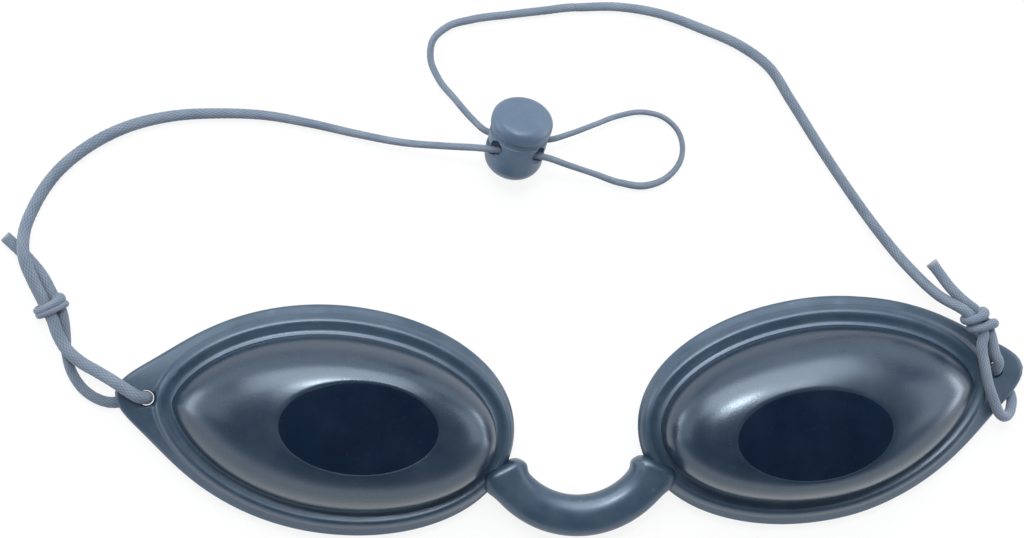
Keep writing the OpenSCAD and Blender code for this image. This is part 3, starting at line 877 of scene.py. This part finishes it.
cupLook = {
    "dark": (0.005, 0.013, 0.028, 1),
    "light": (0.009, 0.019, 0.036, 1),
    "grainScale": 2400.0,
    "grain": 0.45,
    "grainDepth": 0.02,
    "speck": 0.12,
    "speckColour": (0.05, 0.07, 0.09, 1),
    "rub": 0.08,
    "rubStart": 0.53,
    "rubEnd": 0.66,
    "rubColour": (0.10, 0.12, 0.15, 1),
    "dust": 0.06,
    "dustColour": (0.35, 0.37, 0.40, 1),
    "roughness": (0.25, 0.32),
    "ior": 1.85,
    "sheenColour": (0.70, 0.85, 1, 1),
}
cupPlastic = mouldedMaterial("cupPlastic", cupLook)
cup = {
    "lip": 1.0, "lipLow": 2.7, "lipHigh": 3.9, "top": 14.5, "wall": 1.3, "bend": 78,
    "rim": 0.45, "seat": 12.8, "ledge": 11.7, "ledgeWidth": 1.2, "foot": 3.7, "rings": 32,
    "noseSteeper": 0.5, "softened": 0.1, "sharp": 60,
    "rimEdge": [(0.02, 14.36), (0.05, 14.45), (0.11, 14.48), (0.32, 14.48)],  # offset, height
}


def wallRing(side, share, low, high, edge, rim):
    a = math.radians(cup["bend"]) * share
    over = (1 - math.cos(a)) / (1 - math.cos(math.radians(cup["bend"])))
    rise = math.sin(a) / math.sin(math.radians(cup["bend"]))
    ring = []
    for t in angles:
        steeper = 1 - cup["noseSteeper"] * max(0, -math.cos(t)) ** 2
        ring.append(placed(side, beside(t, edge).lerp(windowLine(side, t, rim), over),
                           low + (high - low) * rise**steeper))
    return ring


def domeRing(side, out, z):
    return [placed(side, beside(t, out), z) for t in angles]


def windowRing(side, out, z):
    return [placed(side, windowLine(side, t, out), z) for t in angles]


def domeCup(side, name):
    count, soft = cup["rings"], cup["softened"]
    lip, wall, low, high = cup["lip"], cup["wall"], cup["lipLow"], cup["lipHigh"]
    rings = [domeRing(side, out, z) for out, z in (
        (0.0, high), (lip - soft, high), (lip, high - soft), (lip, low + soft),
        (lip - soft, low), (-wall + soft, low), (-wall, low + soft))]
    for k in range(count // 2 + 1):
        rings.append(wallRing(side, 2 * k / count, cup["foot"], cup["ledge"],
                              -wall, -cup["ledgeWidth"]))
    rings += [windowRing(side, out, z) for out, z in (
        (-cup["ledgeWidth"], cup["seat"] - soft), (-cup["ledgeWidth"] + soft, cup["seat"]),
        (cup["rimEdge"][0][0], cup["seat"]), *cup["rimEdge"])]
    for k in range(count, 0, -1):
        rings.append(wallRing(side, k / count, cup["lipHigh"], cup["top"], 0, cup["rim"]))
    piece = finished(name, loft(rings, "joined"), cupPlastic)
    sharpen(piece, cup["sharp"])
    return piece


for side, name in ((-1, "left"), (1, "right")):
    piece = domeCup(side, name + "DomeCup")
    standIn(piece, name + "_cup", name + "_side")
print("dome cups made")


windowLook = {
    "dark": (0.0022, 0.0065, 0.0170, 1),
    "light": (0.0035, 0.0095, 0.0240, 1),
    "grainScale": 2600.0,
    "grain": 0.08,
    "grainDepth": 0.01,
    "speck": 0.2,
    "speckColour": (0.015, 0.022, 0.034, 1),
    "rub": 0.0,
    "rubStart": 0.55,
    "rubEnd": 0.7,
    "rubColour": (0.06, 0.07, 0.10, 1),
    "dust": 0.03,
    "dustColour": (0.20, 0.22, 0.26, 1),
    "roughness": (0.12, 0.18),
    "ior": 1.45,
    "sheenColour": (0.7, 0.85, 1, 1),
}
windowFilter = mouldedMaterial("windowFilter", windowLook)


def darkWindow(side, name):
    steps = list(window["edge"])
    lap, top = steps[-1]
    for k in range(1, window["crownRings"]):
        share = k / window["crownRings"]
        steps.append((lap - (window["halfHeight"] - lap) * share,
                      top + window["crown"] * (1 - (1 - share) ** 2)))
    rings = [windowRing(side, out, z) for out, z in steps]
    piece = finished(name, loft(rings, "capped"), windowFilter)
    sharpen(piece, window["sharp"])
    return piece


for side, name in ((-1, "left"), (1, "right")):
    piece = darkWindow(side, name + "Window")
    standIn(piece, name + "_window", name + "_side")
print("windows made")


lockLook = {
    "dark": (0.062, 0.098, 0.152, 1),
    "light": (0.080, 0.118, 0.172, 1),
    "grainScale": 3800.0,
    "grain": 0.25,
    "grainDepth": 0.015,
    "speck": 0.1,
    "speckColour": (0.20, 0.22, 0.26, 1),
    "rub": 0.1,
    "rubStart": 0.53,
    "rubEnd": 0.66,
    "rubColour": (0.24, 0.29, 0.36, 1),
    "dust": 0.08,
    "dustColour": (0.35, 0.38, 0.42, 1),
    "roughness": (0.32, 0.42),
    "ior": 1.5,
    "sheenColour": (0.8, 0.9, 1, 1),
}
lockPlastic = mouldedMaterial("lockPlastic", lockLook)
# radii, and heights above the closed end
barrel = {
    "radius": 4.52, "round": 2.9, "neck": 4.26, "neckFrom": 7.65, "height": 8.7,
    "bore": 3.4, "floor": 1.1, "shoulder": 0.22, "mouth": 0.2, "lead": 0.15,
    "step": [(0.02, 0.03), (0, 0.1)],  # where the shoulder meets the neck
}
slotSize = {
    "wide": 5.45, "high": 1.45, "flare": 0.35, "flareFrom": 3.3, "flareOver": 1.9,
    "stations": (0, 3.1, 3.4, 3.8, 4.2, 4.6, 5, 5.5, 6, 7),
}
dimple = {"z": 6.1, "x": 3.35, "y": 3.15, "radii": (1.2, 1.5, 1.6)}
plunger = {
    "stem": 3.3, "stemFrom": 2.6, "skirt": 4.36, "skirtFrom": 8.9, "headFrom": 10.05,
    "head": 4.72, "headTop": 11.55, "edge": 1.4, "edgeTurn": 78, "crown": 0.3,
    "foot": 0.2, "inner": 0.1, "lip": (0.04, 0.05), "lower": 0.22, "travel": 1.2,
}


def arc(centreR, centreZ, radius, fromAngle, toAngle, steps=8):
    points = []
    for k in range(steps + 1):
        a = math.radians(fromAngle + (toAngle - fromAngle) * k / steps)
        points.append((centreR + radius * math.cos(a), centreZ + radius * math.sin(a)))
    return points


# the slot for both strands, taller by "extra" so that the button can move
def strandSlot(extra):
    rings = []
    stations = slotSize["stations"]
    for x in [-x for x in reversed(stations[1:])] + list(stations):
        out = max(0, abs(x) - slotSize["flareFrom"]) / slotSize["flareOver"]
        wider = slotSize["flare"] * min(1, out) ** 2
        r = slotSize["high"] / 2 + wider
        reach = slotSize["wide"] / 2 - slotSize["high"] / 2
        low = lock["holeHeight"] - r
        high = lock["holeHeight"] + r + extra
        ring = []
        for cy, cz, start in ((reach, high - r, 0), (-reach, high - r, 90),
                              (-reach, low + r, 180), (reach, low + r, 270)):
            for k in range(9):
                a = math.radians(start + 90 * k / 8)
                ring.append(Vector((x, cy + r * math.cos(a), cz + r * math.sin(a))))
        rings.append(ring)
    shape = loft(rings, "capped")
    bmesh.ops.remove_doubles(shape, verts=shape.verts, dist=1e-7)
    bmesh.ops.recalc_face_normals(shape, faces=shape.faces)
    return shape


def cordDimples():
    shape = bmesh.new()
    for x in (-dimple["x"], dimple["x"]):
        for y in (-dimple["y"], dimple["y"]):
            place = Matrix.Translation(Vector((x, y, dimple["z"])) * mm)
            size = Matrix.Diagonal((*(r * mm for r in dimple["radii"]), 1))
            bmesh.ops.create_uvsphere(shape, u_segments=40, v_segments=24, radius=1,
                                      matrix=place @ size)
    return shape


def stoodInLock(piece):
    piece.data.transform(Matrix.Translation(Vector(lock["at"]) * mm) @ lockAxes.to_4x4())
    sharpen(piece, lock["sharp"])
    return piece


def lockBarrel():
    b = barrel
    profile = [(0, 0)] + arc(b["radius"] - b["round"], b["round"], b["round"], -90, 0, 14)
    profile += arc(b["radius"] - b["shoulder"], b["neckFrom"] - b["shoulder"], b["shoulder"],
                   0, 80, 4)
    profile += [(b["neck"] + r, b["neckFrom"] + z) for r, z in b["step"]]
    profile += arc(b["neck"] - b["mouth"], b["height"] - b["mouth"], b["mouth"], 0, 90, 4)
    profile += arc(b["bore"] + b["lead"], b["height"] - b["lead"], b["lead"], 90, 180, 4)
    profile += [(b["bore"], b["floor"] + b["mouth"]), (b["bore"] - b["mouth"], b["floor"]),
                (0, b["floor"])]
    piece = finished("lockBarrel", spun(profile), lockPlastic)
    cutWith(piece, finished("cutter", strandSlot(0), lockPlastic))
    cutWith(piece, finished("cutter", cordDimples(), lockPlastic))
    return stoodInLock(piece)


def lockButton():
    p = plunger
    profile = [(0, p["stemFrom"])]
    profile += arc(p["stem"] - p["foot"], p["stemFrom"] + p["foot"], p["foot"], -90, 0, 4)
    profile += [(p["stem"], p["headFrom"] - p["inner"]), (p["stem"] + p["inner"], p["headFrom"]),
                (p["skirt"] - p["inner"], p["headFrom"]),
                (p["skirt"], p["headFrom"] - p["inner"]),
                (p["skirt"], p["skirtFrom"] + p["lip"][1]),
                (p["skirt"] + p["lip"][0], p["skirtFrom"])]
    profile += arc(p["head"] - p["lower"], p["skirtFrom"] + p["lower"], p["lower"], -90, 0, 4)
    profile += arc(p["head"] - p["edge"], p["headTop"] - p["crown"] - p["edge"], p["edge"],
                   0, p["edgeTurn"], 14)
    edgeTurn = math.radians(p["edgeTurn"])
    rim = p["head"] - p["edge"] * (1 - math.cos(edgeTurn))
    low = p["headTop"] - p["crown"] - p["edge"] * (1 - math.sin(edgeTurn))
    for k in range(1, 9):
        share = 1 - k / 8
        profile.append((rim * share, p["headTop"] - (p["headTop"] - low) * share**2))
    piece = finished("lockButton", spun(profile), lockPlastic)
    cutWith(piece, finished("cutter", strandSlot(p["travel"]), lockPlastic))
    return stoodInLock(piece)


standIn(lockBarrel(), "lock_barrel", "cord_lock")
standIn(lockButton(), "lock_plunger", "lock_button")

springLook = {
    "dark": (0.42, 0.43, 0.45, 1),
    "light": (0.60, 0.61, 0.63, 1),
    "grainScale": 9000.0,
    "grain": 0.15,
    "grainDepth": 0.005,
    "speck": 0.1,
    "speckColour": (0.25, 0.24, 0.22, 1),
    "rub": 0.2,
    "rubStart": 0.55,
    "rubEnd": 0.7,
    "rubColour": (0.75, 0.75, 0.76, 1),
    "dust": 0.0,
    "dustColour": (0.4, 0.4, 0.4, 1),
    "roughness": (0.22, 0.34),
    "ior": 1.5,
    "sheenColour": (1, 1, 1, 1),
}
springSteel = mouldedMaterial("springSteel", springLook)  # for the solid's own spring
springSteel.node_tree.nodes["Principled BSDF"].inputs["Metallic"].default_value = 1.0
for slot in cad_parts["lock_spring"].material_slots:
    slot.material = springSteel
print("cord lock made")


studio = {  # in metres
    "sky": [(0.0, (1.3, 1.36, 1.42)), (0.26, (1.1, 1.15, 1.2)), (0.42, (0.32, 0.36, 0.40)),
            (1.0, (0.08, 0.11, 0.14))],  # how far up a ray looks, and the light from there
    "floor": (0.95, 0.95, 0.95, 1),
    "floorSize": 1.5,
    "floorDepth": 0.00005,
    "floorRoughness": 0.7,
    "shadowKept": 0.14,
}
lamps = [  # in metres and watts, each aimed at the origin
    {"name": "topWindow", "at": (-0.05, 0.52, 0.46), "size": (0.80, 0.42), "power": 4.2},
    {"name": "keyLamp", "at": (-0.09, 0.26, 0.56), "size": (0.12, 0.09), "power": 1.4},
    {"name": "secondLamp", "at": (0.12, 0.29, 0.56), "size": (0.10, 0.08), "power": 0.35},
    {"name": "leftBox", "at": (-0.62, 0.10, 0.05), "size": (0.50, 0.10), "power": 0.9},
    {"name": "leftFill", "at": (-0.50, 0.10, 0.34), "size": (0.45, 0.25), "power": 0.35},
    {"name": "rightBox", "at": (0.62, 0.05, 0.05), "size": (0.50, 0.10), "power": 1.0},
    {"name": "rightFill", "at": (0.50, 0.05, 0.34), "size": (0.45, 0.25), "power": 0.6},
]


def addFloor():
    shape = bmesh.new()
    bmesh.ops.create_grid(shape, x_segments=1, y_segments=1, size=studio["floorSize"])
    bmesh.ops.translate(shape, verts=shape.verts, vec=(0, 0, -studio["floorDepth"]))
    material = bpy.data.materials.new("paleFloor")
    material.use_nodes = True
    tree = material.node_tree
    shader = tree.nodes["Principled BSDF"]
    shader.inputs["Base Color"].default_value = studio["floor"]
    shader.inputs["Roughness"].default_value = studio["floorRoughness"]
    path = addNode(tree, "LightPath")
    seen = math2(tree, "MAXIMUM", path.outputs["Is Camera Ray"], path.outputs["Is Glossy Ray"])
    seen = math2(tree, "MAXIMUM", seen, path.outputs["Is Transmission Ray"])
    white = addNode(tree, "Emission", {"Color": (1, 1, 1, 1), "Strength": 1.0})
    mixed = addNode(tree, "MixShader", {
        0: math2(tree, "MULTIPLY", seen, 1 - studio["shadowKept"]),
        1: shader.outputs[0], 2: white.outputs[0]})
    tree.links.new(mixed.outputs[0], tree.nodes["Material Output"].inputs[0])
    finished("floor", shape, material)


def addSky():
    world = bpy.data.worlds.new("studioSky")
    world.use_nodes = True
    tree = world.node_tree
    way = addNode(tree, "SeparateXYZ", {0: addNode(tree, "TexCoord").outputs["Generated"]})
    ramp = addNode(tree, "ValToRGB", {0: way.outputs[2]})
    while len(ramp.color_ramp.elements) < len(studio["sky"]):
        ramp.color_ramp.elements.new(0.5)
    for element, (height, colour) in zip(ramp.color_ramp.elements, studio["sky"]):
        element.position = height
        element.color = (*colour, 1)
    tree.links.new(ramp.outputs[0], tree.nodes["Background"].inputs["Color"])
    scene.world = world


def addLamp(look):
    light = bpy.data.lights.new(look["name"], "AREA")
    light.shape = "RECTANGLE"
    light.size, light.size_y = look["size"]
    light.energy = look["power"]
    lamp = bpy.data.objects.new(look["name"], light)
    lamp.location = look["at"]
    lamp.rotation_euler = Vector(look["at"]).to_track_quat("Z", "Y").to_euler()
    scene.collection.objects.link(lamp)


addFloor()
addSky()
for look in lamps:
    addLamp(look)
print("floor and light set")
